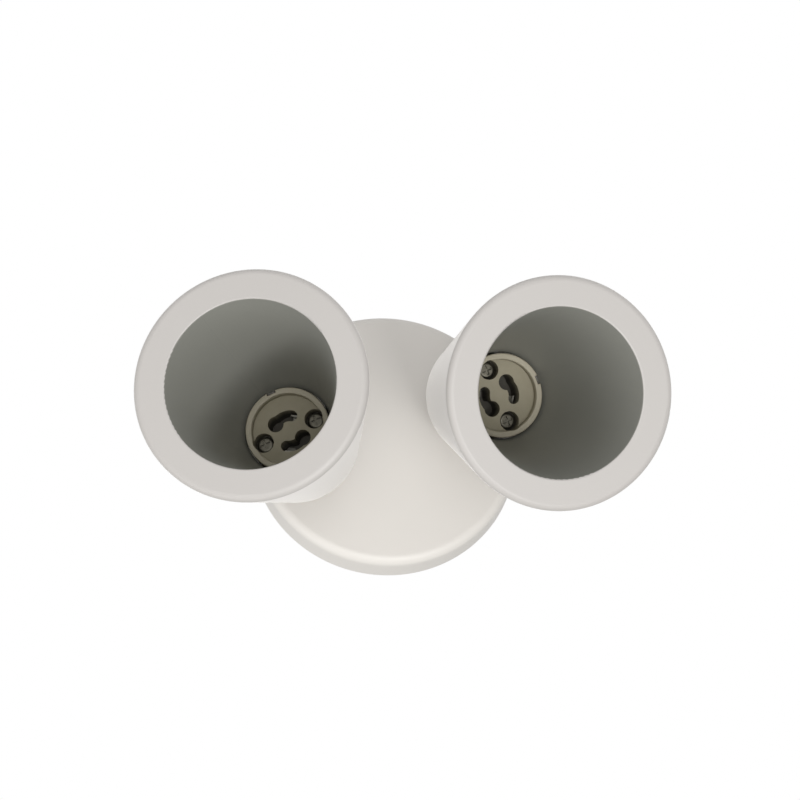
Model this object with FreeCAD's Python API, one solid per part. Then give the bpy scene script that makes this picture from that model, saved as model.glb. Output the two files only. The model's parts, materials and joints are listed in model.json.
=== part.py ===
import FreeCAD
import Part
import math
import os

# Twin pivoting spotlight wall light. A shallow round canopy covers the wall
# bracket and the terminal block. On it stand two forks that turn about the
# wall's normal, and each carries a tapered shade on a hinge with a cross screw.
# At the bottom of each shade sits a ceramic twist-and-lock lampholder.
#
# Row frame: wall plane y = 0, the light stands out towards -Y, +Z is up, and
# the origin is the middle of the canopy's back. All sizes are millimetres.
#
# Local frames: the wall frame has z as the distance from the wall, y up. The
# swivel frame has its origin on the canopy's face at a hub, z outwards and y
# towards the side that the head leans to. The head frame has its origin on the
# tilt screw's axis and z along the shade, towards its mouth.

V = FreeCAD.Vector
X_AXIS = V(1, 0, 0)
Y_AXIS = V(0, 1, 0)
Z_AXIS = V(0, 0, 1)

# ---- clearances -------------------------------------------------------------
FACE_GAP = 0.05          # between flat faces that slide on each other
RUNNING_GAP = 0.05       # radial, between a shaft and the bore it turns in
SCREW_GAP = 0.2          # radial, round a screw in a clearance hole
LOOSE_GAP = 0.3          # between pieces that only lie near each other

# ---- canopy -----------------------------------------------------------------
CANOPY_R = 45.0
CANOPY_DEPTH = 12.0
CANOPY_WALL = 1.6
CANOPY_EDGE_R = 3.0      # rounding between the face and the side
SIDE_SCREW_HEIGHT = 4.0  # of the side screws' axis over the wall
SIDE_SCREW_R = 1.5
SIDE_HEAD_R = 2.6
SIDE_HEAD_T = 1.5

# ---- wall bracket -----------------------------------------------------------
PLATE_T = 1.5
EAR_HALF = 5.0           # half width of the two ears
EAR_HEIGHT = 7.0
ARM_HALF = 8.0           # half width of the arm towards the ears
POST_HALF = 7.0          # half width of the arms with the wall slots
POST_REACH = 36.0
TAB_HALF = 15.0          # half width of the seat of the terminal block
TAB_TOP = 23.0
PLATE_CORNER_R = 1.5
SLOT_SPACING = 60.0
SLOT_R = 2.25
SLOT_LENGTH = 9.0
CABLE_HOLE_R = 5.0
EARTH_X = 13.5
EARTH_SCREW_R = 2.0
EARTH_HEAD_R = 3.6
EARTH_HEAD_T = 2.2
EARTH_WASHER_R = 4.4
EARTH_WASHER_T = 0.8

# ---- terminal block ---------------------------------------------------------
POLES = 3
POLE_PITCH = 9.0
BLOCK_LOW = 9.5          # its lower side, over the bracket's middle
BLOCK_DEPTH = 12.0
BLOCK_HEIGHT = 7.6
BLOCK_END = 1.2          # wall outside the outer poles
TOWER_R = 3.1
SLEEVE_R = 2.3
SLEEVE_BORE_R = 1.5
SLEEVE_LENGTH = 10.0
SLEEVE_HEIGHT = 3.2      # of the sleeves' axis over the plate
CLAMP_SCREW_R = 1.3
CLAMP_SCREW_ROW = 2.8    # of each screw row from the block's middle
FIXING_R = 1.1
FIXING_HEAD_R = 2.0
FIXING_HEAD_T = 1.2
FIXING_SINK = 3.0

# ---- swivel -----------------------------------------------------------------
HUB_OFFSET = 30.0        # of each hub from the canopy's middle
PIVOT_HEIGHT = 12.5      # of the tilt screw over the canopy's face
HUB_R = 12.5
HUB_TOP = 4.2
HUB_EDGE_R = 2.0
GLIDE_T = 0.5            # nylon washer under the hub
GLIDE_R = 7.4
STEM_R = 4.0
STEM_BORE_R = 2.6
STEM_NUT_FLATS = 12.0
STEM_NUT_T = 3.0
STEM_WASHER_R = 7.0
STEM_WASHER_T = 0.8
STEM_SPARE = 1.2         # thread that stands out of the nut
STOP_PIN_R = 1.0
STOP_PIN_CIRCLE_R = 9.6
STOP_PIN_ANGLE = 90.0    # in the swivel frame, at rest
STOP_PIN_REACH = 2.0     # over the canopy's face
STOP_GROOVE_GAP = 0.25

# ---- tilt hinge -------------------------------------------------------------
CHEEK_T = 3.5
KNUCKLE_R = 7.0
TONGUE_T = 5.0
FIBRE_T = 0.4
FIBRE_R = 6.2
TILT_SCREW_R = 2.0
TILT_HEAD_R = 3.6
TILT_HEAD_T = 2.4
TILT_SOCKET_FLATS = 2.5
TILT_SOCKET_DEPTH = 1.4
TILT_NUT_FLATS = 7.0
TILT_NUT_T = 3.2
TILT_NUT_SINK = 1.2
TILT_SCREW_SPARE = 0.8
FLANGE_R = 8.0
FLANGE_T = 2.0
LEAD_BORE_R = 1.8
LEAD_EXIT_HEIGHT = 5.0   # of the side hole for the leads, over the tilt axis

# ---- shade ------------------------------------------------------------------
BACK_HEIGHT = 10.0       # of the back face over the tilt axis
FLOOR_T = 4.0
RIM_R = 36.5             # where the cone would meet the rim's face
RIM_EDGE_R = 2.0
BACK_R = 19.5            # where the cone would meet the back face
BACK_EDGE_R = 6.0
BORE_MOUTH_R = 26.4
BORE_MOUTH_EDGE_R = 0.6
WELL_GAP = 0.4           # radial, round the lampholder
WELL_DEPTH = 3.0         # of the bore's end below the lampholder's rim
WELL_EDGE_R = 0.8

# ---- lampholder -------------------------------------------------------------
HOLDER_DEPTH = 62.5      # of its rim below the mouth
HOLDER_R = 13.75
HOLDER_T = 13.5
HOLDER_RIM_W = 2.0
HOLDER_RIM_T = 3.2
HOLDER_EDGE_R = 0.5
HOLDER_NOTCH_W = 3.0
HOLDER_NOTCH_D = 1.1
HOLDER_COVER_R = 13.1
HOLDER_COVER_T = 1.5
SCREW_CIRCLE_R = 9.0
SCREW_WELL_R = 3.2
SCREW_WELL_DEPTH = 4.6
HOLDER_SCREW_R = 1.5
HOLDER_SCREW_HEAD_R = 2.8
HOLDER_SCREW_HEAD_T = 2.1
CROSS_W = 0.8
CROSS_LENGTH = 3.4
CROSS_DEPTH = 1.0
PIN_CIRCLE_R = 5.0       # two lamp pins, 10 mm apart
PIN_ENTRY_R = 2.6
PIN_LOCK_R = 1.8
PIN_ENTRY_ANGLE = -52.0  # from the screws' line, about the head's axis
PIN_LOCK_ANGLE = -124.0
PIN_SLOT_DEPTH = 9.0
CONTACT_T = 0.5
CONTACT_W = 2.4
CONTACT_H = 5.0
LEAD_HOLE_R = 1.4
LEAD_HOLE_Y = 4.5

# ---- holder bracket ---------------------------------------------------------
STRIP_T = 1.0
STRIP_HALF = 4.5
STRIP_LEG_X = 6.5        # inner face of each leg
STRIP_REACH = 12.2
HEAD_NUT_T = 3.0
HEAD_NUT_GAP = 0.5       # between the nut and the holder's cover

# ---- aim of the two heads at rest, and what their swivels allow -------------
# side, lean azimuth in the wall plane, lean from the wall's normal, turn of the
# lampholder in its shade, then the lowest and highest swivel angle from rest
HEADS = (
    ("left", -1, -166.23, 16.22, 79.5, -60.0, 35.0),
    ("right", 1, -84.80, 23.77, 90.5, -8.0, 178.0),
)

# ---- places that follow from the sizes --------------------------------------
INNER_FACE = CANOPY_DEPTH - CANOPY_WALL
EAR_X = math.sqrt((CANOPY_R - CANOPY_WALL) ** 2 - EAR_HALF ** 2) - LOOSE_GAP
HUB_BOTTOM = GLIDE_T + FACE_GAP
STEM_WASHER_TOP = -CANOPY_WALL - FACE_GAP
STEM_NUT_TOP = STEM_WASHER_TOP - STEM_WASHER_T
STEM_END = STEM_NUT_TOP - STEM_NUT_T - STEM_SPARE
FIBRE_X = TONGUE_T / 2 + FACE_GAP
CHEEK_X = FIBRE_X + FIBRE_T + FACE_GAP
CHEEK_END = CHEEK_X + CHEEK_T
FLOOR_HEIGHT = BACK_HEIGHT + FLOOR_T
STRIP_TOP = FLOOR_HEIGHT + STRIP_T
COVER_BACK = STRIP_TOP + HEAD_NUT_T + HEAD_NUT_GAP
HOLDER_BACK = COVER_BACK + HOLDER_COVER_T
HOLDER_FRONT = HOLDER_BACK + HOLDER_T
MOUTH_HEIGHT = HOLDER_FRONT + HOLDER_DEPTH
WELL_R = HOLDER_R + WELL_GAP
HOLDER_FACE = HOLDER_FRONT - HOLDER_RIM_T
SCREW_SEAT = HOLDER_FACE - SCREW_WELL_DEPTH
BLOCK_MIDDLE = BLOCK_LOW + BLOCK_DEPTH / 2
BLOCK_HALF = POLE_PITCH * (POLES - 1) / 2 + TOWER_R + BLOCK_END
PLATE_TO_FACE = INNER_FACE - PLATE_T


# ---- helpers ----------------------------------------------------------------
def rod(radius, start, end, x=0.0, y=0.0):
    """Cylinder along z from start to end, its axis at x, y."""
    return Part.makeCylinder(radius, end - start, V(x, y, start))


def rod_x(radius, start, end, y=0.0, z=0.0):
    """Cylinder along x from start to end."""
    return Part.makeCylinder(radius, end - start, V(start, y, z), X_AXIS)


def rod_y(radius, start, end, x=0.0, z=0.0):
    """Cylinder along y from start to end."""
    return Part.makeCylinder(radius, end - start, V(x, start, z), Y_AXIS)


def ring(outer, inner, start, end, x=0.0, y=0.0):
    """Flat ring along z."""
    return rod(outer, start, end, x, y).cut(rod(inner, start, end, x, y))


def block(x0, x1, y0, y1, z0, z1):
    """Box between two corners."""
    return Part.makeBox(x1 - x0, y1 - y0, z1 - z0, V(x0, y0, z0))


def hexagon(flats, start, end):
    """Hexagonal prism along z with two flats square to x."""
    corner = flats / math.sqrt(3)
    angles = [math.radians(30 + 60 * i) for i in range(7)]
    points = [V(corner * math.cos(a), corner * math.sin(a), start) for a in angles]
    return Part.Face(Part.makePolygon(points)).extrude(V(0, 0, end - start))


def outline(corners, place):
    """Closed wire through (u, v, radius) corners, each rounded by its radius."""
    count = len(corners)
    ins, outs, mids = [], [], []
    for i, (u, v, radius) in enumerate(corners):
        here = V(u, v, 0)
        before = V(*corners[i - 1][:2], 0) - here
        after = V(*corners[(i + 1) % count][:2], 0) - here
        before.normalize()
        after.normalize()
        half = before.getAngle(after) / 2
        run = radius / math.tan(half)
        middle = before + after
        ins.append(here + before * run)
        outs.append(here + after * run)
        if radius > 0:
            middle.normalize()
            mids.append(here + middle * (radius / math.sin(half) - radius))
        else:
            mids.append(None)
    edges = []
    for i in range(count):
        if mids[i] is not None:
            edges.append(Part.Arc(place(ins[i]), place(mids[i]), place(outs[i])).toShape())
        start, end = outs[i], ins[(i + 1) % count]
        if start.distanceToPoint(end) > 1e-6:
            edges.append(Part.makeLine(place(start), place(end)))
    return Part.Wire(edges)


def turned(corners):
    """Solid of revolution about z from (radius, height, rounding) corners."""
    wire = outline(corners, lambda p: V(p.x, 0, p.y))
    return Part.Face(wire).revolve(V(0, 0, 0), Z_AXIS, 360)


def plate(corners, start, end):
    """Flat plate between two heights from (x, y, rounding) corners."""
    wire = outline(corners, lambda p: V(p.x, p.y, start))
    return Part.Face(wire).extrude(V(0, 0, end - start))


def folded(corners, half_width):
    """Strip with its folds drawn as (x, z, rounding) corners, across y."""
    wire = outline(corners, lambda p: V(p.x, -half_width, p.y))
    return Part.Face(wire).extrude(V(0, 2 * half_width, 0))


def slot(radius, length, x, y, start, end):
    """Round-ended slot along y, centred at x, y."""
    run = length / 2 - radius
    shape = rod(radius, start, end, x, y - run).fuse(rod(radius, start, end, x, y + run))
    return shape.fuse(block(x - radius, x + radius, y - run, y + run, start, end))


def on_circle(radius, degrees):
    """Point of a circle about z."""
    angle = math.radians(degrees)
    return radius * math.cos(angle), radius * math.sin(angle)


def swept_slot(radius, circle, start_angle, end_angle, start, end):
    """Groove with round ends along an arc of a circle about z."""
    band = ring(circle + radius, circle - radius, start, end)
    turn = end_angle - start_angle
    wedge = Part.makeCylinder(circle + 2 * radius, end - start, V(0, 0, start), Z_AXIS, turn)
    wedge.rotate(V(0, 0, 0), Z_AXIS, start_angle)
    shape = band.common(wedge)
    for angle in (start_angle, end_angle):
        x, y = on_circle(circle, angle)
        shape = shape.fuse(rod(radius, start, end, x, y))
    return shape


def frame(x, y, z, axis, degrees):
    """Placement from a shift and a turn about one axis through it."""
    return FreeCAD.Placement(V(x, y, z), FreeCAD.Rotation(axis, degrees))


# ---- pieces on the wall, in the wall frame ----------------------------------
def canopy():
    """Shallow cup with a rounded edge, two stem holes and two side holes."""
    inner_r = CANOPY_R - CANOPY_WALL
    inner_edge = CANOPY_EDGE_R - CANOPY_WALL
    shape = turned([
        (0, INNER_FACE, 0),
        (inner_r, INNER_FACE, inner_edge),
        (inner_r, 0, 0),
        (CANOPY_R, 0, 0),
        (CANOPY_R, CANOPY_DEPTH, CANOPY_EDGE_R),
        (0, CANOPY_DEPTH, 0),
    ])
    hole_r = SIDE_SCREW_R + SCREW_GAP
    shape = shape.cut(rod_x(hole_r, -CANOPY_R, -inner_edge, 0, SIDE_SCREW_HEIGHT))
    shape = shape.cut(rod_x(hole_r, inner_edge, CANOPY_R, 0, SIDE_SCREW_HEIGHT))
    for _, side, azimuth, _, _, _, _ in HEADS:
        hub_x = side * HUB_OFFSET
        shape = shape.cut(rod(STEM_R + RUNNING_GAP, INNER_FACE, CANOPY_DEPTH, hub_x, 0))
        x, y = on_circle(STOP_PIN_CIRCLE_R, azimuth)
        shape = shape.cut(rod(STOP_PIN_R, INNER_FACE, CANOPY_DEPTH, hub_x + x, y))
    return shape


def wall_bracket():
    """Pressed cross with two ears, two wall slots and the cable hole."""
    end_x = EAR_X
    right = [
        (POST_HALF, -ARM_HALF, 0),
        (end_x - 2 * ARM_HALF, -ARM_HALF, PLATE_CORNER_R),
        (end_x - ARM_HALF, -EAR_HALF, PLATE_CORNER_R),
        (end_x, -EAR_HALF, 0),
        (end_x, EAR_HALF, 0),
        (end_x - ARM_HALF, EAR_HALF, PLATE_CORNER_R),
        (end_x - 2 * ARM_HALF, ARM_HALF, PLATE_CORNER_R),
        (TAB_HALF, ARM_HALF, 0),
        (TAB_HALF, TAB_TOP, PLATE_CORNER_R),
        (POST_HALF, TAB_TOP, 0),
        (POST_HALF, POST_REACH, PLATE_CORNER_R),
    ]
    left = [(-x, y, r) for x, y, r in reversed(right)]
    foot = [
        (-POST_HALF, -POST_REACH, PLATE_CORNER_R),
        (POST_HALF, -POST_REACH, PLATE_CORNER_R),
    ]
    shape = plate(right + left + foot, 0, PLATE_T)
    for side in (-1, 1):
        near, far = sorted((side * (end_x - PLATE_T), side * end_x))
        shape = shape.fuse(block(near, far, -EAR_HALF, EAR_HALF, 0, EAR_HEIGHT))
        hole = rod_x(SIDE_SCREW_R, near, far, 0, SIDE_SCREW_HEIGHT)
        shape = shape.cut(hole)
        y = side * SLOT_SPACING / 2
        shape = shape.cut(slot(SLOT_R, SLOT_LENGTH, 0, y, 0, PLATE_T))
        for x, y, _ in terminal_fixing_places(side):
            shape = shape.cut(rod(FIXING_R, 0, PLATE_T, x, y))
    shape = shape.cut(rod(CABLE_HOLE_R, 0, PLATE_T))
    shape = shape.cut(rod(EARTH_SCREW_R, 0, PLATE_T, EARTH_X, 0))
    return shape.removeSplitter()


def terminal_fixing_places(side):
    """Where one fixing screw stands, between two poles."""
    return [(side * POLE_PITCH / 2, BLOCK_MIDDLE, PLATE_T + BLOCK_HEIGHT - FIXING_SINK)]


def pole_places():
    """Middles of the poles along x."""
    first = -POLE_PITCH * (POLES - 1) / 2
    return [first + POLE_PITCH * i for i in range(POLES)]


def canopy_screws():
    """Two side screws through the canopy into the bracket's ears."""
    solids = []
    for side in (-1, 1):
        seat = side * CANOPY_R
        tip, seat_end = sorted((side * (EAR_X - 2 * PLATE_T), seat))
        shank = rod_x(SIDE_SCREW_R, tip, seat_end, 0, SIDE_SCREW_HEIGHT)
        near, far = sorted((seat, seat + side * SIDE_HEAD_T))
        head = rod_x(SIDE_HEAD_R, near, far, 0, SIDE_SCREW_HEIGHT)
        top = seat + side * SIDE_HEAD_T
        low, high = sorted((top - side * SIDE_HEAD_T / 2, top))
        groove = block(low, high, -SIDE_HEAD_R, SIDE_HEAD_R,
                       SIDE_SCREW_HEIGHT - CROSS_W / 2, SIDE_SCREW_HEIGHT + CROSS_W / 2)
        solids.append(shank.fuse(head).removeSplitter().cut(groove))
    return solids


def terminal_block():
    """Moulded block with a tower over each pole and bores for the sleeves."""
    top = PLATE_T + BLOCK_HEIGHT
    low, high = BLOCK_LOW, BLOCK_LOW + BLOCK_DEPTH
    shoulder = PLATE_T + SLEEVE_HEIGHT
    shape = block(-BLOCK_HALF, BLOCK_HALF, low, high, PLATE_T, shoulder)
    for x in pole_places():
        shape = shape.fuse(rod_y(TOWER_R, low, high, x, shoulder))
        shape = shape.fuse(block(x - TOWER_R, x + TOWER_R, low, high, shoulder, top))
    for x in pole_places():
        shape = shape.cut(rod_y(SLEEVE_R, low, high, x, shoulder))
        for row in (-CLAMP_SCREW_ROW, CLAMP_SCREW_ROW):
            shaft = rod(CLAMP_SCREW_R + SCREW_GAP, shoulder, top, x, BLOCK_MIDDLE + row)
            shape = shape.cut(shaft)
    for side in (-1, 1):
        for x, y, seat in terminal_fixing_places(side):
            shape = shape.cut(rod(FIXING_R + SCREW_GAP, PLATE_T, top, x, y))
            shape = shape.cut(rod(FIXING_HEAD_R + SCREW_GAP, seat, top, x, y))
    return shape.removeSplitter()


def terminal_sleeves():
    """Brass sleeves that grip the wires, one in each pole."""
    solids = []
    height = PLATE_T + SLEEVE_HEIGHT
    start = BLOCK_MIDDLE - SLEEVE_LENGTH / 2
    end = BLOCK_MIDDLE + SLEEVE_LENGTH / 2
    for x in pole_places():
        tube = rod_y(SLEEVE_R, start, end, x, height)
        tube = tube.cut(rod_y(SLEEVE_BORE_R, start, end, x, height))
        for row in (-CLAMP_SCREW_ROW, CLAMP_SCREW_ROW):
            hole = rod(CLAMP_SCREW_R, height, height + SLEEVE_R, x, BLOCK_MIDDLE + row)
            tube = tube.cut(hole)
        solids.append(tube)
    return solids


def terminal_screws():
    """Two clamping screws in each pole."""
    solids = []
    low = PLATE_T + SLEEVE_HEIGHT + SLEEVE_BORE_R / 2
    high = PLATE_T + BLOCK_HEIGHT - CROSS_DEPTH
    for x in pole_places():
        for row in (-CLAMP_SCREW_ROW, CLAMP_SCREW_ROW):
            y = BLOCK_MIDDLE + row
            screw = rod(CLAMP_SCREW_R, low, high, x, y)
            groove = block(x - CLAMP_SCREW_R, x + CLAMP_SCREW_R, y - CROSS_W / 2,
                           y + CROSS_W / 2, high - CROSS_DEPTH, high)
            solids.append(screw.cut(groove))
    return solids


def terminal_fixings():
    """Screws that hold the block to the bracket."""
    solids = []
    for side in (-1, 1):
        for x, y, seat in terminal_fixing_places(side):
            shank = rod(FIXING_R, 0, seat, x, y)
            head = rod(FIXING_HEAD_R, seat, seat + FIXING_HEAD_T, x, y)
            groove = block(x - FIXING_HEAD_R, x + FIXING_HEAD_R, y - CROSS_W / 2,
                           y + CROSS_W / 2, seat + FIXING_HEAD_T / 2, seat + FIXING_HEAD_T)
            solids.append(shank.fuse(head).removeSplitter().cut(groove))
    return solids


def earth_washer():
    """Clamping washer of the earth terminal, lipped at its edge."""
    top = PLATE_T + EARTH_WASHER_T
    return ring(EARTH_WASHER_R, EARTH_SCREW_R + RUNNING_GAP, PLATE_T, top, EARTH_X, 0)


def earth_screw():
    """Earth terminal's screw, tapped into the bracket."""
    seat = PLATE_T + EARTH_WASHER_T
    top = seat + EARTH_HEAD_T
    shape = rod(EARTH_SCREW_R, 0, seat, EARTH_X, 0)
    shape = shape.fuse(rod(EARTH_HEAD_R, seat, top, EARTH_X, 0)).removeSplitter()
    groove = block(EARTH_X - EARTH_HEAD_R, EARTH_X + EARTH_HEAD_R, -CROSS_W / 2,
                   CROSS_W / 2, top - CROSS_DEPTH, top)
    return shape.cut(groove)


# ---- swivel, in the swivel frame --------------------------------------------
def glide_washer():
    """Nylon washer that the hub turns on."""
    return ring(GLIDE_R, STEM_R + RUNNING_GAP, 0, GLIDE_T)


def stop_pin():
    """Dowel pressed into the canopy; it ends the fork's turn in its groove."""
    x, y = on_circle(STOP_PIN_CIRCLE_R, STOP_PIN_ANGLE)
    pin = rod(STOP_PIN_R, -CANOPY_WALL, STOP_PIN_REACH, x, y)
    tip = [e for e in pin.Edges if abs(e.CenterOfMass.z - STOP_PIN_REACH) < 1e-6]
    return pin.makeChamfer(STOP_PIN_R / 4, tip)


def cheek(x0, x1):
    """One cheek of the fork, with its round head about the tilt axis."""
    post = block(x0, x1, -KNUCKLE_R, KNUCKLE_R, HUB_TOP - HUB_EDGE_R, PIVOT_HEIGHT)
    shape = post.fuse(rod_x(KNUCKLE_R, x0, x1, 0, PIVOT_HEIGHT))
    return shape.cut(rod_x(TILT_SCREW_R, x0, x1, 0, PIVOT_HEIGHT))


def fork(turn_low, turn_high):
    """Hub, hollow stem and two cheeks in one piece, with the stop groove."""
    hub = turned([
        (STEM_BORE_R, STEM_END, 0),
        (STEM_R, STEM_END, 0),
        (STEM_R, HUB_BOTTOM, 0),
        (HUB_R, HUB_BOTTOM, 0),
        (HUB_R, HUB_TOP, HUB_EDGE_R),
        (STEM_BORE_R, HUB_TOP, 0),
    ])
    shape = hub.fuse(cheek(CHEEK_X, CHEEK_END)).fuse(cheek(-CHEEK_END, -CHEEK_X))
    groove_r = STOP_PIN_R + STOP_GROOVE_GAP
    groove_top = STOP_PIN_REACH + STOP_GROOVE_GAP
    groove_low = STOP_PIN_ANGLE - turn_high
    groove_high = STOP_PIN_ANGLE - turn_low
    groove = swept_slot(groove_r, STOP_PIN_CIRCLE_R, groove_low, groove_high,
                        HUB_BOTTOM, groove_top)
    shape = shape.cut(groove)
    pocket = hexagon(TILT_NUT_FLATS, 0, TILT_NUT_SINK)
    pocket.Placement = frame(-CHEEK_END, 0, PIVOT_HEIGHT, Y_AXIS, 90)
    return shape.cut(pocket).removeSplitter()


def stem_washer():
    """Spring washer between the canopy and the stem's nut."""
    return ring(STEM_WASHER_R, STEM_R + RUNNING_GAP, STEM_NUT_TOP, STEM_WASHER_TOP)


def stem_nut():
    """Nut inside the canopy that holds the stem."""
    nut = hexagon(STEM_NUT_FLATS, STEM_NUT_TOP - STEM_NUT_T, STEM_NUT_TOP)
    return nut.cut(rod(STEM_R, STEM_NUT_TOP - STEM_NUT_T, STEM_NUT_TOP))


def tilt_washers():
    """Fibre washers, one each side of the tongue, that give the tilt its grip."""
    solids = []
    for start in (FIBRE_X, -FIBRE_X - FIBRE_T):
        disc = rod_x(FIBRE_R, start, start + FIBRE_T, 0, PIVOT_HEIGHT)
        hole = rod_x(TILT_SCREW_R + RUNNING_GAP, start, start + FIBRE_T, 0, PIVOT_HEIGHT)
        solids.append(disc.cut(hole))
    return solids


def tilt_screw():
    """Socket screw across the fork and the tongue."""
    tip = -CHEEK_END + TILT_NUT_SINK - TILT_NUT_T - TILT_SCREW_SPARE
    shank = rod_x(TILT_SCREW_R, tip, CHEEK_END, 0, PIVOT_HEIGHT)
    head = rod_x(TILT_HEAD_R, CHEEK_END, CHEEK_END + TILT_HEAD_T, 0, PIVOT_HEIGHT)
    rim = [e for e in head.Edges if abs(e.CenterOfMass.x - CHEEK_END - TILT_HEAD_T) < 1e-6]
    head = head.makeFillet(TILT_HEAD_T / 2, rim)
    socket = hexagon(TILT_SOCKET_FLATS, -TILT_SOCKET_DEPTH, 0)
    socket.Placement = frame(CHEEK_END + TILT_HEAD_T, 0, PIVOT_HEIGHT, Y_AXIS, 90)
    return shank.fuse(head).removeSplitter().cut(socket)


def tilt_nut():
    """Lock nut, sunk in its pocket in the fork's cheek."""
    nut = hexagon(TILT_NUT_FLATS, TILT_NUT_SINK - TILT_NUT_T, TILT_NUT_SINK)
    nut = nut.cut(rod(TILT_SCREW_R, TILT_NUT_SINK - TILT_NUT_T, TILT_NUT_SINK))
    nut.Placement = frame(-CHEEK_END, 0, PIVOT_HEIGHT, Y_AXIS, 90)
    return nut


# ---- head, in the head frame ------------------------------------------------
def knuckle():
    """Tongue, flange and hollow threaded spigot in one piece."""
    half = TONGUE_T / 2
    flange_low = BACK_HEIGHT - FLANGE_T
    shape = block(-half, half, -KNUCKLE_R, KNUCKLE_R, 0, flange_low)
    shape = shape.fuse(rod_x(KNUCKLE_R, -half, half))
    shape = shape.fuse(rod(FLANGE_R, flange_low, BACK_HEIGHT))
    spigot_top = STRIP_TOP + HEAD_NUT_T
    shape = shape.fuse(rod(STEM_R, BACK_HEIGHT, spigot_top))
    shape = shape.cut(rod(STEM_BORE_R, BACK_HEIGHT, spigot_top))
    shape = shape.cut(rod(LEAD_BORE_R, LEAD_EXIT_HEIGHT, BACK_HEIGHT))
    shape = shape.cut(rod_y(LEAD_BORE_R, 0, KNUCKLE_R, 0, LEAD_EXIT_HEIGHT))
    shape = shape.cut(rod_x(TILT_SCREW_R + RUNNING_GAP, -half, half))
    return shape.removeSplitter()


def shade():
    """Thick-walled tapered cup with a wide flat rim and a well for the holder."""
    well_top = HOLDER_FRONT - WELL_DEPTH
    hole_r = STEM_R + RUNNING_GAP
    return turned([
        (hole_r, BACK_HEIGHT, 0),
        (BACK_R, BACK_HEIGHT, BACK_EDGE_R),
        (RIM_R, MOUTH_HEIGHT, RIM_EDGE_R),
        (BORE_MOUTH_R, MOUTH_HEIGHT, BORE_MOUTH_EDGE_R),
        (WELL_R, well_top, WELL_EDGE_R),
        (WELL_R, FLOOR_HEIGHT, WELL_EDGE_R),
        (hole_r, FLOOR_HEIGHT, 0),
    ])


def head_nut():
    """Nut that clamps the shade and the holder's bracket on the spigot."""
    nut = hexagon(STEM_NUT_FLATS, STRIP_TOP, STRIP_TOP + HEAD_NUT_T)
    return nut.cut(rod(STEM_R, STRIP_TOP, STRIP_TOP + HEAD_NUT_T))


def holder_bracket():
    """Pressed strip under the nut, its two feet folded up to the lampholder."""
    inner, outer = STRIP_LEG_X, STRIP_LEG_X + STRIP_T
    top = COVER_BACK
    right = [
        (outer, FLOOR_HEIGHT, 0),
        (outer, top - STRIP_T, 0),
        (STRIP_REACH, top - STRIP_T, 0),
        (STRIP_REACH, top, 0),
        (inner, top, 0),
        (inner, STRIP_TOP, 0),
    ]
    left = [(-x, z, r) for x, z, r in reversed(right)]
    shape = folded(right + left, STRIP_HALF)
    shape = shape.cut(rod(STEM_R, FLOOR_HEIGHT, STRIP_TOP))
    for x in (-SCREW_CIRCLE_R, SCREW_CIRCLE_R):
        shape = shape.cut(rod(HOLDER_SCREW_R, top - STRIP_T, top, x, 0))
    return shape


def holder_cover():
    """Insulating disc behind the ceramic, with two holes for the leads."""
    shape = rod(HOLDER_COVER_R, COVER_BACK, HOLDER_BACK)
    for side in (-1, 1):
        hole = rod(HOLDER_SCREW_R + SCREW_GAP, COVER_BACK, HOLDER_BACK, side * SCREW_CIRCLE_R, 0)
        lead = rod(LEAD_HOLE_R, COVER_BACK, HOLDER_BACK, 0, side * LEAD_HOLE_Y)
        shape = shape.cut(hole).cut(lead)
    return shape


def pin_slot(turn):
    """Keyhole slot of one lamp pin: a round entry and an arc to the lock."""
    low = HOLDER_FACE - PIN_SLOT_DEPTH
    shape = swept_slot(PIN_LOCK_R, PIN_CIRCLE_R, turn + PIN_LOCK_ANGLE,
                       turn + PIN_ENTRY_ANGLE, low, HOLDER_FACE)
    x, y = on_circle(PIN_CIRCLE_R, turn + PIN_ENTRY_ANGLE)
    return shape.fuse(rod(PIN_ENTRY_R, low, HOLDER_FACE, x, y))


def lampholder():
    """Ceramic body with a raised rim, two keyhole slots and two screw wells."""
    shape = turned([
        (0, HOLDER_BACK, 0),
        (HOLDER_R, HOLDER_BACK, 0),
        (HOLDER_R, HOLDER_FRONT, HOLDER_EDGE_R),
        (HOLDER_R - HOLDER_RIM_W, HOLDER_FRONT, HOLDER_EDGE_R),
        (HOLDER_R - HOLDER_RIM_W, HOLDER_FACE, 0),
        (0, HOLDER_FACE, 0),
    ])
    for side, turn in ((1, 0), (-1, 180)):
        x = side * SCREW_CIRCLE_R
        shape = shape.cut(rod(HOLDER_SCREW_R + SCREW_GAP, HOLDER_BACK, SCREW_SEAT, x, 0))
        shape = shape.cut(rod(SCREW_WELL_R, SCREW_SEAT, HOLDER_FRONT, x, 0))
        shape = shape.cut(pin_slot(turn))
        near, far = sorted((side * (HOLDER_R - HOLDER_NOTCH_D), side * (HOLDER_R + 1)))
        notch = block(-HOLDER_NOTCH_W / 2, HOLDER_NOTCH_W / 2, near, far,
                      HOLDER_FACE, HOLDER_FRONT)
        shape = shape.cut(notch)
    return shape.removeSplitter()


def contacts():
    """Spring contact at the foot of each slot, bent up beside the pin."""
    solids = []
    low = HOLDER_FACE - PIN_SLOT_DEPTH
    for turn in (0, 180):
        foot = block(-CONTACT_W / 2, CONTACT_W / 2, -CONTACT_W / 2, CONTACT_W / 2,
                     low, low + CONTACT_T)
        blade = block(CONTACT_W / 2 - CONTACT_T, CONTACT_W / 2, -CONTACT_W / 2,
                      CONTACT_W / 2, low, low + CONTACT_H)
        shape = foot.fuse(blade).removeSplitter()
        shape.translate(V(PIN_CIRCLE_R, 0, 0))
        shape.rotate(V(0, 0, 0), Z_AXIS, turn + PIN_LOCK_ANGLE)
        solids.append(shape)
    return solids


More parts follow.
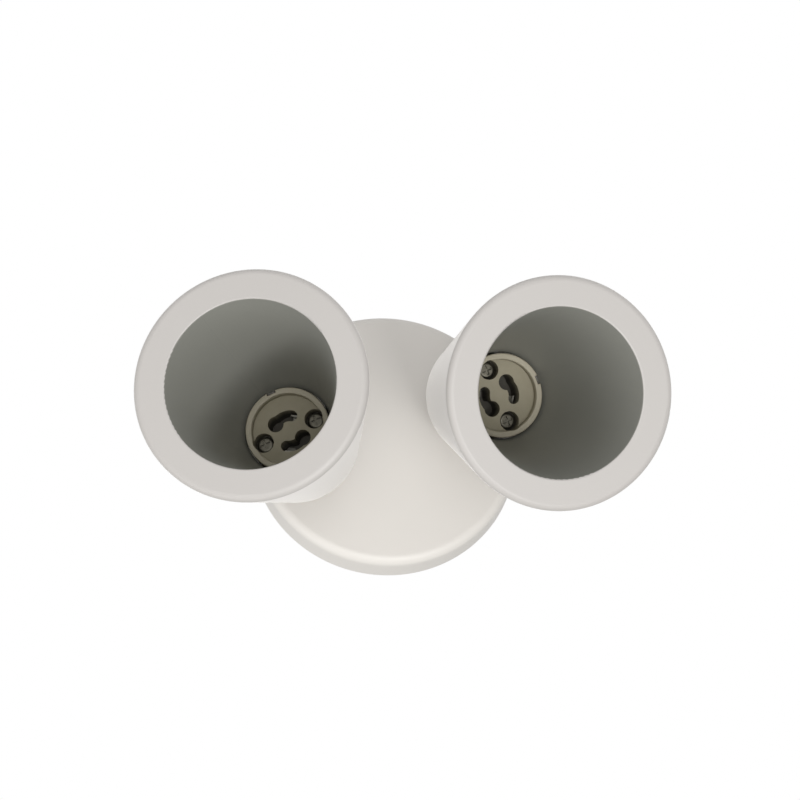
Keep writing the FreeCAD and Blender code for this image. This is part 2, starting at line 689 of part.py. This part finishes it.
def holder_screws():
    """Two cross-head screws that hold the ceramic to its bracket."""
    solids = []
    top = SCREW_SEAT + HOLDER_SCREW_HEAD_T
    for side in (-1, 1):
        x = side * SCREW_CIRCLE_R
        head = rod(HOLDER_SCREW_HEAD_R, SCREW_SEAT, top, x, 0)
        rim = [e for e in head.Edges if abs(e.CenterOfMass.z - top) < 1e-6]
        head = head.makeFillet(HOLDER_SCREW_HEAD_T / 2, rim)
        shank = rod(HOLDER_SCREW_R, COVER_BACK - 2 * STRIP_T, SCREW_SEAT, x, 0)
        shape = shank.fuse(head).removeSplitter()
        for along, across in ((CROSS_LENGTH, CROSS_W), (CROSS_W, CROSS_LENGTH)):
            cross = block(x - along / 2, x + along / 2, -across / 2, across / 2,
                          top - CROSS_DEPTH, top)
            shape = shape.cut(cross)
        solids.append(shape)
    return solids


# ---- assembly ---------------------------------------------------------------
def save(name, shapes, place):
    """Place one node's solids and write its file."""
    solids = shapes if isinstance(shapes, list) else [shapes]
    placed = []
    for solid in solids:
        copy = solid.copy()
        copy.Placement = place.multiply(copy.Placement)
        placed.append(copy)
    shape = placed[0] if len(placed) == 1 else Part.makeCompound(placed)
    count = len(shape.Solids)
    print(f"{name}: {count} solid(s), valid {shape.isValid()}, {shape.Volume / 1000:.2f} cm3")
    shape.exportStep(f"parts/{name}.step")


def save_base(wall):
    """Everything that stays still on the wall."""
    save("wall_bracket", wall_bracket(), wall)
    save("canopy", canopy(), wall)
    save("canopy_screws", canopy_screws(), wall)
    save("terminal_block", terminal_block(), wall)
    save("terminal_sleeves", terminal_sleeves(), wall)
    save("terminal_screws", terminal_screws(), wall)
    save("terminal_fixings", terminal_fixings(), wall)
    save("earth_screw", earth_screw(), wall)
    save("earth_washer", earth_washer(), wall)


def save_head(wall, name, side, azimuth, lean, holder_turn, turn_low, turn_high):
    """One swivel and its head, aimed as at rest."""
    hub = wall.multiply(frame(side * HUB_OFFSET, 0, CANOPY_DEPTH, Z_AXIS, azimuth - 90))
    head = hub.multiply(frame(0, 0, PIVOT_HEIGHT, X_AXIS, -lean))
    holder = head.multiply(frame(0, 0, 0, Z_AXIS, holder_turn))
    save(f"glide_washer_{name}", glide_washer(), hub)
    save(f"stop_pin_{name}", stop_pin(), hub)
    save(f"fork_{name}", fork(turn_low, turn_high), hub)
    save(f"stem_washer_{name}", stem_washer(), hub)
    save(f"stem_nut_{name}", stem_nut(), hub)
    save(f"tilt_screw_{name}", tilt_screw(), hub)
    save(f"tilt_nut_{name}", tilt_nut(), hub)
    save(f"tilt_washers_{name}", tilt_washers(), hub)
    save(f"knuckle_{name}", knuckle(), head)
    save(f"shade_{name}", shade(), head)
    save(f"head_nut_{name}", head_nut(), holder)
    save(f"holder_bracket_{name}", holder_bracket(), holder)
    save(f"holder_cover_{name}", holder_cover(), holder)
    save(f"lampholder_{name}", lampholder(), holder)
    save(f"contacts_{name}", contacts(), holder)
    save(f"holder_screws_{name}", holder_screws(), holder)


def main():
    """Build every node."""
    os.makedirs("parts", exist_ok=True)
    wall = frame(0, 0, 0, X_AXIS, 90)
    save_base(wall)
    for head in HEADS:
        save_head(wall, *head)


main()
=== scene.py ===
"""Finishes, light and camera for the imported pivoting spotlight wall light.

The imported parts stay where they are. Each sub-assembly has a class that dresses
its nodes, and each finish is a small class that builds one procedural material.
"""

import json
import logging
from dataclasses import dataclass
from enum import Enum, IntEnum

import bpy
from mathutils import Matrix, Vector

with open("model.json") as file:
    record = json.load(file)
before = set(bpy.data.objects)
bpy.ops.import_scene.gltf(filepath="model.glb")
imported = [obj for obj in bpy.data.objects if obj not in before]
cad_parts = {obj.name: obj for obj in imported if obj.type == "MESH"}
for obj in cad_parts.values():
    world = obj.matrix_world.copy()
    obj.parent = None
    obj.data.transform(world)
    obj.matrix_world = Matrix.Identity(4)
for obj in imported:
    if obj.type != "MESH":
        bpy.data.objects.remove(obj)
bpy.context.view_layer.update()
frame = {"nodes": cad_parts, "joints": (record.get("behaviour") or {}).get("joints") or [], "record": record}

logging.basicConfig(level=logging.INFO, format="%(message)s")
LOG = logging.getLogger("scene")

MM = 0.001
DISPLAY_MAX = 255
SRGB_KNEE = 0.04045
SRGB_SLOPE = 12.92
SRGB_OFFSET = 0.055
SRGB_POWER = 2.4

Colour = tuple[float, float, float]
Triple = tuple[float, float, float]


# ---- colours ----------------------------------------------------------------
def linear(red: int, green: int, blue: int) -> Colour:
    """Scene-linear colour of an 8-bit display colour."""
    return tuple(linear_channel(value / DISPLAY_MAX) for value in (red, green, blue))


def linear_channel(value: float) -> float:
    """Takes one channel from display to scene-linear.

    Args:
        value: The display value, 0 to 1.

    Returns:
        The linear value, 0 to 1.
    """
    if value <= SRGB_KNEE:
        return value / SRGB_SLOPE
    return ((value + SRGB_OFFSET) / (1 + SRGB_OFFSET)) ** SRGB_POWER


def opaque(colour: Colour) -> tuple[float, float, float, float]:
    """The colour with full alpha."""
    return (*colour, 1.0)


class Paint(Enum):
    """Display colours of the paints and materials, set to read in the render as in the photo."""

    # Painted shade: the heads' paint, greyer than the canopy's, which is the same paint.
    BODY = (192, 188, 184)
    CANOPY = (226, 222, 216)
    # Painted shade inside the bores of the heads.
    INSIDE = (147, 147, 140)
    CERAMIC = (158, 151, 130)
    CERAMIC_DARK = (147, 140, 118)
    # Painted light on the lampholder's raised rim, paler than its face.
    CERAMIC_RIM = (178, 171, 151)
    # Painted shade below the lampholder's face, down in its slots and screw wells.
    CERAMIC_DEEP = (62, 58, 48)
    ZINC = (196, 197, 198)
    BRASS = (206, 178, 112)
    NICKEL = (122, 120, 112)
    TERMINAL = (232, 230, 222)
    NYLON = (226, 224, 216)
    DULL_SCREW = (106, 103, 93)
    FIBRE = (118, 98, 80)

    @property
    def colour(self) -> Colour:
        """The scene-linear colour."""
        return linear(*self.value)


# ---- node helpers -----------------------------------------------------------
class MixSocket(IntEnum):
    """Places of a Mix node's colour sockets, whose names repeat on the node."""

    FACTOR = 0
    FIRST = 6
    SECOND = 7
    RESULT = 2


class Graph:
    """Thin wrapper that adds and joins nodes of one node tree."""

    def __init__(self, tree: bpy.types.NodeTree) -> None:
        """Wraps the tree."""
        self.tree = tree

    def add(self, kind: str, **settings: object) -> bpy.types.Node:
        """Adds a node.

        Args:
            kind: The node's type name.
            **settings: Attributes to set on it.

        Returns:
            The new node.
        """
        node = self.tree.nodes.new(kind)
        for name, value in settings.items():
            setattr(node, name, value)
        return node

    def join(self, start: bpy.types.NodeSocket, end: bpy.types.NodeSocket) -> None:
        """Links an output to an input."""
        self.tree.links.new(start, end)

    def feed(self, socket: bpy.types.NodeSocket, value: object) -> None:
        """Sets an input to a constant or links an output into it.

        Args:
            socket: The input.
            value: The constant or the output socket.
        """
        if isinstance(value, bpy.types.NodeSocket):
            self.join(value, socket)
        else:
            socket.default_value = value

    def math(self, operation: str, *values: object, clamp: bool = False) -> bpy.types.NodeSocket:
        """Does scalar math on constants and sockets.

        Args:
            operation: The Math node's operation.
            *values: Constants or sockets, in the order of its inputs.
            clamp: Whether the result is held between 0 and 1.

        Returns:
            The result.
        """
        node = self.add("ShaderNodeMath", operation=operation, use_clamp=clamp)
        for socket, value in zip(node.inputs, values):
            self.feed(socket, value)
        return node.outputs[0]

    def vector(self, operation: str, *values: object) -> bpy.types.Node:
        """Does vector math on constants and sockets.

        Args:
            operation: The Vector Math node's operation.
            *values: Constants or sockets, in the order of its inputs.

        Returns:
            The node, which has its result under Vector or Value.
        """
        node = self.add("ShaderNodeVectorMath", operation=operation)
        for socket, value in zip(node.inputs, values):
            self.feed(socket, value)
        return node

    def blend(self, factor: object, first: object, second: object) -> bpy.types.NodeSocket:
        """Mixes two colours by a factor.

        Args:
            factor: Share of the second colour, constant or socket.
            first: The first colour, constant or socket.
            second: The second colour, constant or socket.

        Returns:
            The mixed colour.
        """
        node = self.add("ShaderNodeMix", data_type="RGBA")
        self.feed(node.inputs[MixSocket.FACTOR], factor)
        self.feed(node.inputs[MixSocket.FIRST], first)
        self.feed(node.inputs[MixSocket.SECOND], second)
        return node.outputs[MixSocket.RESULT]

    def noise(self, position: object, scale: object, detail: float = 2.0) -> bpy.types.NodeSocket:
        """Adds a noise texture.

        Args:
            position: The socket that gives the place.
            scale: Grains per metre, constant or socket.
            detail: Octaves of the noise.

        Returns:
            The noise's value, between 0 and 1.
        """
        node = self.add("ShaderNodeTexNoise", noise_dimensions="3D")
        self.feed(node.inputs["Vector"], position)
        self.feed(node.inputs["Scale"], scale)
        node.inputs["Detail"].default_value = detail
        return node.outputs[0]


def new_group(name: str, inputs: dict[str, str], outputs: dict[str, str]) -> Graph:
    """Makes an empty shader node group.

    Args:
        name: The group's name.
        inputs: Socket types by input name.
        outputs: Socket types by output name.

    Returns:
        The wrapper of its tree.
    """
    tree = bpy.data.node_groups.new(name, "ShaderNodeTree")
    for label, kind in inputs.items():
        tree.interface.new_socket(name=label, in_out="INPUT", socket_type=kind)
    for label, kind in outputs.items():
        tree.interface.new_socket(name=label, in_out="OUTPUT", socket_type=kind)
    return Graph(tree)


def use_group(graph: Graph, tree: bpy.types.NodeTree, **values: object) -> bpy.types.Node:
    """Places a shared group and feeds its inputs by name.

    Args:
        graph: The graph that takes it.
        tree: The group's tree.
        **values: Constants or sockets, by input name.

    Returns:
        The group's node.
    """
    node = graph.add("ShaderNodeGroup", node_tree=tree)
    for label, value in values.items():
        graph.feed(node.inputs[label], value)
    return node


def height_group() -> bpy.types.NodeTree:
    """Group that gives a point's height along an axis.

    Returns:
        The group's tree, built on its first use.
    """
    name = "axis_height"
    if name in bpy.data.node_groups:
        return bpy.data.node_groups[name]
    graph = new_group(
        name,
        {"Point": "NodeSocketVector", "Origin": "NodeSocketVector", "Direction": "NodeSocketVector"},
        {"Height": "NodeSocketFloat"},
    )
    start = graph.add("NodeGroupInput")
    end = graph.add("NodeGroupOutput")
    away = graph.vector("SUBTRACT", start.outputs["Point"], start.outputs["Origin"])
    height = graph.vector("DOT_PRODUCT", away.outputs["Vector"], start.outputs["Direction"])
    graph.join(height.outputs["Value"], end.inputs["Height"])
    return graph.tree


def peel_group() -> bpy.types.NodeTree:
    """Group that gives the fine orange peel or pitting of a surface as a normal.

    Returns:
        The group's tree, built on its first use.
    """
    name = "peel_normal"
    if name in bpy.data.node_groups:
        return bpy.data.node_groups[name]
    graph = new_group(
        name,
        {"Point": "NodeSocketVector", "Depth": "NodeSocketFloat", "Grain": "NodeSocketFloat"},
        {"Normal": "NodeSocketVector"},
    )
    start = graph.add("NodeGroupInput")
    end = graph.add("NodeGroupOutput")
    texture = graph.noise(start.outputs["Point"], start.outputs["Grain"], detail=3.0)
    bump = graph.add("ShaderNodeBump")
    bump.inputs["Strength"].default_value = 1.0
    graph.join(start.outputs["Depth"], bump.inputs["Distance"])
    graph.join(texture, bump.inputs["Height"])
    graph.join(bump.outputs["Normal"], end.inputs["Normal"])
    return graph.tree


# ---- finishes ---------------------------------------------------------------
@dataclass(frozen=True)
class Finish:
    """A finish that is built as one procedural material on Object coordinates."""

    name: str
    colour: Colour

    def build(self) -> bpy.types.Material:
        """Finds the material, or makes it on its first use.

        Returns:
            The material, with one Principled shader.
        """
        if self.name in bpy.data.materials:
            return bpy.data.materials[self.name]
        material = bpy.data.materials.new(self.name)
        material.use_nodes = True
        material.node_tree.nodes.clear()
        graph = Graph(material.node_tree)
        shader = graph.add("ShaderNodeBsdfPrincipled")
        output = graph.add("ShaderNodeOutputMaterial")
        graph.join(shader.outputs[0], output.inputs["Surface"])
        point = graph.add("ShaderNodeTexCoord").outputs["Object"]
        self.lay(graph, shader, point)
        return material

    def lay(self, graph: Graph, shader: bpy.types.Node, point: bpy.types.NodeSocket) -> None:
        """Sets up the shader.

        Args:
            graph: The material's graph.
            shader: Its Principled shader.
            point: The Object coordinates.
        """
        raise NotImplementedError


@dataclass(frozen=True)
class PowderCoat(Finish):
    """Satin powder coat with a little orange peel and, where asked for, a sheen at flat angles."""

    roughness: float = 0.48
    gloss: float = 0.6
    sheen: float = 0.0
    sheen_roughness: float = 0.35
    sheen_tint: Colour = (1.0, 0.975, 0.94)
    depth: float = 0.010 * MM
    grain: float = 900.0
    cloud_scale: float = 30.0
    cloud_share: float = 0.03

    def lay(self, graph: Graph, shader: bpy.types.Node, point: bpy.types.NodeSocket) -> None:
        """Sets up the coat.

        Args:
            graph: The material's graph.
            shader: Its Principled shader.
            point: The Object coordinates.
        """
        peel = use_group(graph, peel_group(), Point=point, Depth=self.depth, Grain=self.grain)
        cloud = graph.noise(point, self.cloud_scale)
        shade = graph.math("MULTIPLY_ADD", cloud, self.cloud_share, 1 - self.cloud_share / 2)
        tint = graph.vector("SCALE", self.colour)
        graph.join(shade, tint.inputs["Scale"])
        graph.join(tint.outputs["Vector"], shader.inputs["Base Color"])
        shader.inputs["Roughness"].default_value = self.roughness
        shader.inputs["Specular IOR Level"].default_value = self.gloss
        shader.inputs["Sheen Weight"].default_value = self.sheen
        shader.inputs["Sheen Roughness"].default_value = self.sheen_roughness
        shader.inputs["Sheen Tint"].default_value = opaque(self.sheen_tint)
        graph.join(peel.outputs["Normal"], shader.inputs["Normal"])


@dataclass(frozen=True)
class Metal(Finish):
    """Plated or bare metal with faint uneven gloss."""

    roughness: float = 0.35
    unevenness: float = 0.16
    grain: float = 400.0
    detail: float = 3.0

    def lay(self, graph: Graph, shader: bpy.types.Node, point: bpy.types.NodeSocket) -> None:
        """Sets up the metal.

        Args:
            graph: The material's graph.
            shader: Its Principled shader.
            point: The Object coordinates.
        """
        cloud = graph.noise(point, self.grain, self.detail)
        rough = graph.math("MULTIPLY_ADD", cloud, self.unevenness, self.roughness - self.unevenness / 2)
        shader.inputs["Base Color"].default_value = opaque(self.colour)
        shader.inputs["Metallic"].default_value = 1.0
        graph.join(rough, shader.inputs["Roughness"])


@dataclass(frozen=True)
class Matte(Finish):
    """Dull moulded or fired material with a faint mottle and fine pits."""

    dark: Colour
    roughness: float = 0.7
    grain: float = 350.0
    detail: float = 4.0
    pits_per_grain: float = 3.0
    depth: float = 0.015 * MM

    def tone(self, graph: Graph, point: bpy.types.NodeSocket) -> bpy.types.NodeSocket:
        """Mixes the mottle.

        Args:
            graph: The material's graph.
            point: The Object coordinates.

        Returns:
            The mottled colour.
        """
        cloud = graph.noise(point, self.grain, self.detail)
        return graph.blend(cloud, opaque(self.dark), opaque(self.colour))

    def lay(self, graph: Graph, shader: bpy.types.Node, point: bpy.types.NodeSocket) -> None:
        """Sets up the material.

        Args:
            graph: The material's graph.
            shader: Its Principled shader.
            point: The Object coordinates.
        """
        pits = self.grain * self.pits_per_grain
        peel = use_group(graph, peel_group(), Point=point, Depth=self.depth, Grain=pits)
        graph.join(self.tone(graph, point), shader.inputs["Base Color"])
        shader.inputs["Roughness"].default_value = self.roughness
        graph.join(peel.outputs["Normal"], shader.inputs["Normal"])


@dataclass(frozen=True, kw_only=True)
class Ceramic(Matte):
    """Unglazed ceramic, with painted light on its raised rim and painted shade below its face, down in its
    slots.
    """

    rim: Colour
    shade_below_face: Colour
    pivot: Triple
    direction: Triple
    face: float
    rim_step: float
    # Depth below the face over which the painted shade darkens fully.
    fade: float
    roughness: float = 0.6

    def tone(self, graph: Graph, point: bpy.types.NodeSocket) -> bpy.types.NodeSocket:
        """Mixes the mottle with painted light on the rim and painted shade below the face, in the slots,
        told by the height over the face.

        Args:
            graph: The material's graph.
            point: The Object coordinates.

        Returns:
            The colour.
        """
        place = use_group(graph, height_group(), Point=point, Origin=self.pivot, Direction=self.direction)
        height = graph.math("SUBTRACT", place.outputs["Height"], self.face)
        # Painted light: the raised rim takes a paler colour than the face.
        raised = graph.math("GREATER_THAN", height, self.rim_step)
        # Painted shade: the ceramic darkens the further it lies below the face, down in the slots and screw
        # wells.
        shade_share = graph.math("DIVIDE", height, -self.fade, clamp=True)
        colour = graph.blend(raised, super().tone(graph, point), opaque(self.rim))
        return graph.blend(shade_share, colour, opaque(self.shade_below_face))


# The heads' coat is greyer than the canopy's, painted shade on what is one paint, and its sheen lifts it at
# flat angles.
SHADED_BODY_COAT = PowderCoat("shaded_body_coat", Paint.BODY.colour, sheen=0.9)
# Painted shade: the faces of the bores take a darker grey, without sheen.
BORE_SHADE_COAT = PowderCoat("bore_shade_coat", Paint.INSIDE.colour, roughness=0.42)
CANOPY_COAT = PowderCoat("canopy_coat", Paint.CANOPY.colour)
ZINC = Metal("zinc_plate", Paint.ZINC.colour)
DULL_SCREW = Metal("dull_screw", Paint.DULL_SCREW.colour, roughness=0.5)
BRASS = Metal("bare_brass", Paint.BRASS.colour, roughness=0.32)
NICKEL = Metal("nickel_strip", Paint.NICKEL.colour, roughness=0.3)
TERMINAL = Matte("moulded_terminal", Paint.TERMINAL.colour, Paint.TERMINAL.colour, roughness=0.5)
NYLON = Matte("nylon", Paint.NYLON.colour, Paint.NYLON.colour, roughness=0.45)
FIBRE = Matte("hard_fibre", Paint.FIBRE.colour, Paint.FIBRE.colour, roughness=0.75)


def dress(node: str, finish: Finish) -> None:
    """Gives one CAD node its finish.

    Args:
        node: The CAD node's name.
        finish: The finish that its first material slot takes.
    """
    piece = frame["nodes"][node]
    piece.data.materials.clear()
    piece.data.materials.append(finish.build())
    LOG.info("dressed %s with %s", node, finish.name)


# ---- sub-assemblies ---------------------------------------------------------
class Side(Enum):
    """The two heads, by the side of the canopy that they stand on."""

    LEFT = "left"
    RIGHT = "right"


def entry(rows: list[dict], name: str) -> dict:
    """The row of that name among the frame's joints or mounts."""
    return next(row for row in rows if row["name"] == name)


def tilt_pivot(side: Side) -> Triple:
    """Place of the tilt hinge on that side, from the frame."""
    return tuple(entry(frame["joints"], f"tilt_{side.value}")["pos_m"])


def lamp_aim(side: Side) -> Triple:
    """Direction that the head on that side points in at rest, from the frame."""
    return tuple(entry(frame["record"]["mounts"], f"lamp_socket_{side.value}")["axis"])


@dataclass
class Base:
    """What stays on the wall: canopy, bracket, terminal block and earth."""

    coat: Finish = CANOPY_COAT

    def dress(self) -> None:
        """Dresses every node of the base that isn't made once for each side."""
        dress("canopy", self.coat)
        dress("canopy_screws", self.coat)
        dress("wall_bracket", ZINC)
        dress("terminal_block", TERMINAL)
        dress("terminal_sleeves", BRASS)
        dress("terminal_screws", ZINC)
        dress("terminal_fixings", ZINC)
        dress("earth_screw", BRASS)
        dress("earth_washer", BRASS)


@dataclass
class Swivel:
    """Fork and stem with their washers, nut and stop pin, and the tilt hinge's fastenings."""

    side: Side
    coat: Finish = SHADED_BODY_COAT

    def dress(self) -> None:
        """Dresses the swivel's nodes."""
        name = self.side.value
        dress(f"fork_{name}", self.coat)
        dress(f"tilt_screw_{name}", self.coat)
        dress(f"tilt_nut_{name}", self.coat)
        dress(f"tilt_washers_{name}", FIBRE)
        dress(f"stem_washer_{name}", ZINC)
        dress(f"stem_nut_{name}", ZINC)
        dress(f"glide_washer_{name}", NYLON)
        dress(f"stop_pin_{name}", ZINC)


@dataclass
class Head:
    """Shade, knuckle and what sits inside the shade, with heights from the tilt hinge."""

    side: Side
    pivot: Triple
    direction: Triple
    mouth_height: float = 96 * MM
    mouth_r: float = 26.4 * MM
    bore_end_height: float = 30.5 * MM
    bore_end_r: float = 14.15 * MM
    floor_height: float = 14 * MM
    holder_face: float = 30.3 * MM
    holder_rim: float = 3.2 * MM
    # Depth below the lampholder's face over which its painted shade darkens fully.
    shade_fade_depth: float = 5 * MM
    edge: float = 0.1 * MM
    coat: Finish = SHADED_BODY_COAT

    def in_bore(self, point: Vector) -> bool:
        """Tells whether a point of the shade lies on the wall of its bore.

        Args:
            point: The point, in the frame at rest.

        Returns:
            True on the bore's wall and on what lies inside it.
        """
        direction = Vector(self.direction)
        away = point - Vector(self.pivot)
        height = away.dot(direction)
        radius = (away - direction * height).length
        slope = (self.mouth_r - self.bore_end_r) / (self.mouth_height - self.bore_end_height)
        wall = self.bore_end_r + slope * (height - self.bore_end_height)
        return height > self.floor_height - self.edge and radius < wall + self.edge

    def dress_shade(self) -> None:
        """Dresses the shade, with a darker grey on the faces of its bore as painted shade."""
        node = f"shade_{self.side.value}"
        dress(node, self.coat)
        mesh = frame["nodes"][node].data
        mesh.materials.append(BORE_SHADE_COAT.build())
        # Faces in the bore take the second slot, its painted shade.
        for face in mesh.polygons:
            face.material_index = int(self.in_bore(face.center))

    def ceramic(self) -> Finish:
        """The lampholder's ceramic."""
        return Ceramic(
            f"steatite_{self.side.value}",
            Paint.CERAMIC.colour,
            Paint.CERAMIC_DARK.colour,
            rim=Paint.CERAMIC_RIM.colour,
            shade_below_face=Paint.CERAMIC_DEEP.colour,
            pivot=self.pivot,
            direction=self.direction,
            face=self.holder_face,
            rim_step=self.holder_rim / 2,
            fade=self.shade_fade_depth,
        )

    def dress(self) -> None:
        """Dresses the head's nodes."""
        name = self.side.value
        self.dress_shade()
        dress(f"knuckle_{name}", self.coat)
        dress(f"head_nut_{name}", ZINC)
        dress(f"holder_bracket_{name}", ZINC)
        dress(f"holder_cover_{name}", FIBRE)
        dress(f"lampholder_{name}", self.ceramic())
        dress(f"contacts_{name}", NICKEL)
        dress(f"holder_screws_{name}", DULL_SCREW)


# ---- stage ------------------------------------------------------------------
# The camera is solved from the outlines of the heads and the canopy in the photo,
# and all lamps but the key are placed by its directions.
LOOK = Vector((0.21304, 0.91992, 0.32918))
UP = Vector((0.30022, -0.38225, 0.87393))
RIGHT = LOOK.cross(UP)
CAMERA_PLACE = Vector((-0.2076, -0.9479, -0.3236))
KEY_TOWARDS = Vector((0.0, -0.74, -0.67))
MIDDLE = Vector((0, -0.06, 0))


@dataclass
class Camera:
    """The photo's camera: place, look direction and the side of the frame that is up."""

    place: Vector
    look: Vector
    up: Vector
    focal_px: float = 3000.0
    frame_px: float = 800.0
    sensor: float = 36.0
    near: float = 0.05
    far: float = 20.0

    def build(self) -> None:
        """Makes the scene's camera."""
        data = bpy.data.cameras.new("camera")
        data.sensor_width = self.sensor
        data.lens = self.focal_px / self.frame_px * self.sensor
        data.clip_start = self.near
        data.clip_end = self.far
        camera = bpy.data.objects.new("camera", data)
        look = self.look.normalized()
        up = (self.up - look * self.up.dot(look)).normalized()
        right = look.cross(up)
        turn = Matrix((right, up, -look)).transposed()
        camera.matrix_world = Matrix.Translation(self.place) @ turn.to_4x4()
        bpy.context.scene.collection.objects.link(camera)
        bpy.context.scene.camera = camera


@dataclass
class Softbox:
    """A square soft lamp that points at the light's middle from one direction."""

    name: str
    towards: Vector
    power: float
    side: float
    distance: float = 1.3

    def build(self) -> None:
        """Makes the lamp."""
        data = bpy.data.lights.new(self.name, "AREA")
        data.shape = "SQUARE"
        data.size = self.side
        data.energy = self.power
        lamp = bpy.data.objects.new(self.name, data)
        lamp.location = MIDDLE + self.towards.normalized() * self.distance
        lamp.rotation_mode = "QUATERNION"
        lamp.rotation_quaternion = (MIDDLE - lamp.location).to_track_quat("-Z", "Y")
        bpy.context.scene.collection.objects.link(lamp)


@dataclass
class Studio:
    """An even white world and a plain pale floor well below the light."""

    level: float = 0.5
    floor_height: float = -1.7
    floor_side: float = 12.0
    floor_colour: Colour = (0.8, 0.8, 0.79)
    floor_roughness: float = 0.8

    def build_world(self) -> None:
        """White to the camera and in reflections, and otherwise a dim light of the set level."""
        world = bpy.data.worlds.new("studio")
        bpy.context.scene.world = world
        world.use_nodes = True
        world.node_tree.nodes.clear()
        graph = Graph(world.node_tree)
        path = graph.add("ShaderNodeLightPath")
        seen = graph.math("MAXIMUM", path.outputs["Is Camera Ray"], path.outputs["Is Transmission Ray"])
        seen = graph.math("MAXIMUM", seen, path.outputs["Is Glossy Ray"])
        strength = graph.math("MULTIPLY_ADD", seen, 1 - self.level, self.level)
        background = graph.add("ShaderNodeBackground")
        background.inputs["Color"].default_value = (1, 1, 1, 1)
        graph.join(strength, background.inputs["Strength"])
        output = graph.add("ShaderNodeOutputWorld")
        graph.join(background.outputs[0], output.inputs["Surface"])

    def build_floor(self) -> None:
        """Lays the floor and stages it."""
        bpy.ops.mesh.primitive_plane_add(size=self.floor_side, location=(0, 0, self.floor_height))
        floor = bpy.context.object
        floor.name = "floor"
        material = bpy.data.materials.new("pale_floor")
        material.use_nodes = True
        shader = material.node_tree.nodes["Principled BSDF"]
        shader.inputs["Base Color"].default_value = opaque(self.floor_colour)
        shader.inputs["Roughness"].default_value = self.floor_roughness
        floor.data.materials.append(material)


def main() -> None:
    """Dresses the light and sets the stage."""
    Base().dress()
    for side in Side:
        Swivel(side).dress()
        Head(side, tilt_pivot(side), lamp_aim(side)).dress()

    Camera(CAMERA_PLACE, LOOK, UP).build()
    lamps = (
        Softbox("key", KEY_TOWARDS, power=6.3, side=0.35),
        Softbox("front", -LOOK, power=4.0, side=0.5),
        Softbox("above", UP, power=1.0, side=1.0),
        Softbox("low_left", -LOOK - RIGHT - UP, power=4.4, side=1.0),
    )
    for lamp in lamps:
        lamp.build()
    studio = Studio()
    studio.build_world()
    studio.build_floor()
    bpy.context.scene.view_settings.view_transform = "Standard"


if __name__ == "__main__":
    main()
